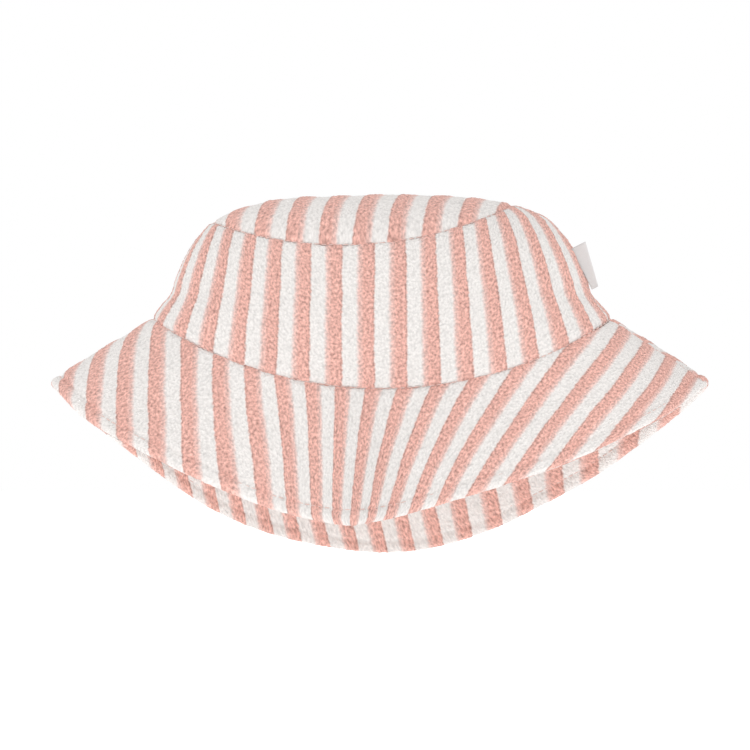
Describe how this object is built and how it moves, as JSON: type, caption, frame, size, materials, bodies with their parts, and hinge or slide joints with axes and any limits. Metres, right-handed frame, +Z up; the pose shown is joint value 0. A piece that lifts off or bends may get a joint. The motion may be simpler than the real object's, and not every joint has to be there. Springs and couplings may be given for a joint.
{
  "type": "bucket hat",
  "caption": "Child's lined bucket hat in striped towelling with a wide down-turned brim, a sweatband and two flapping sewn labels.",
  "frame": {"origin": "middle of the head opening, at the height of the front of the brim seam", "axes": "+Z up towards the crown's tip, -Y the way the wearer looks, +X the wearer's left along the hat's longer way across"},
  "size_m": [0.31, 0.1671, 0.1683],
  "materials": {
    "towelling": "matt striped terry",
    "lining": "matt plain weave",
    "sweatband": "matt twill",
    "interlining": "matt felted",
    "label": "satin woven tape",
    "thread": "satin thread"
  },
  "bodies": {
    "hat": {"crown_tip": "towelling", "crown_front": "towelling", "crown_back": "towelling", "lining_tip": "lining", "lining_front": "lining", "lining_back": "lining", "sweatband": "sweatband", "brim_top_front": "towelling", "brim_top_back": "towelling", "brim_stiffener_front": "interlining", "brim_stiffener_back": "interlining", "brim_under_front": "towelling", "brim_under_back": "towelling", "crown_tip_thread": "thread", "crown_thread_left": "thread", "crown_thread_right": "thread", "brim_seam_thread": "thread", "lining_tip_thread": "thread", "lining_thread_left": "thread", "lining_thread_right": "thread", "brim_top_thread_left": "thread", "brim_top_thread_right": "thread", "brim_under_thread_left": "thread", "brim_under_thread_right": "thread", "rim_topstitch_front": "thread", "rim_topstitch_back": "thread", "rim_seam_thread_front": "thread", "rim_seam_thread_back": "thread", "band_stitch": "thread"},
    "side_label": {"woven_label": "label"},
    "inner_label": {"care_label": "label"}
  },
  "joints": [
    {"name": "side_label_flap", "type": "hinge", "parent": "hat", "child": "side_label", "pos_m": [0.09287, -0.00845, 0.05414], "axis": [-0.4544, 0.0414, 0.8898], "range_deg": [-40, 22], "stiffness_Nm_per_rad": 0.0002},
    {"name": "inner_label_flap", "type": "hinge", "parent": "hat", "child": "inner_label", "pos_m": [0, 0.04564, 0.023], "axis": [-1, 0, 0], "range_deg": [0, 70]}
  ]
}
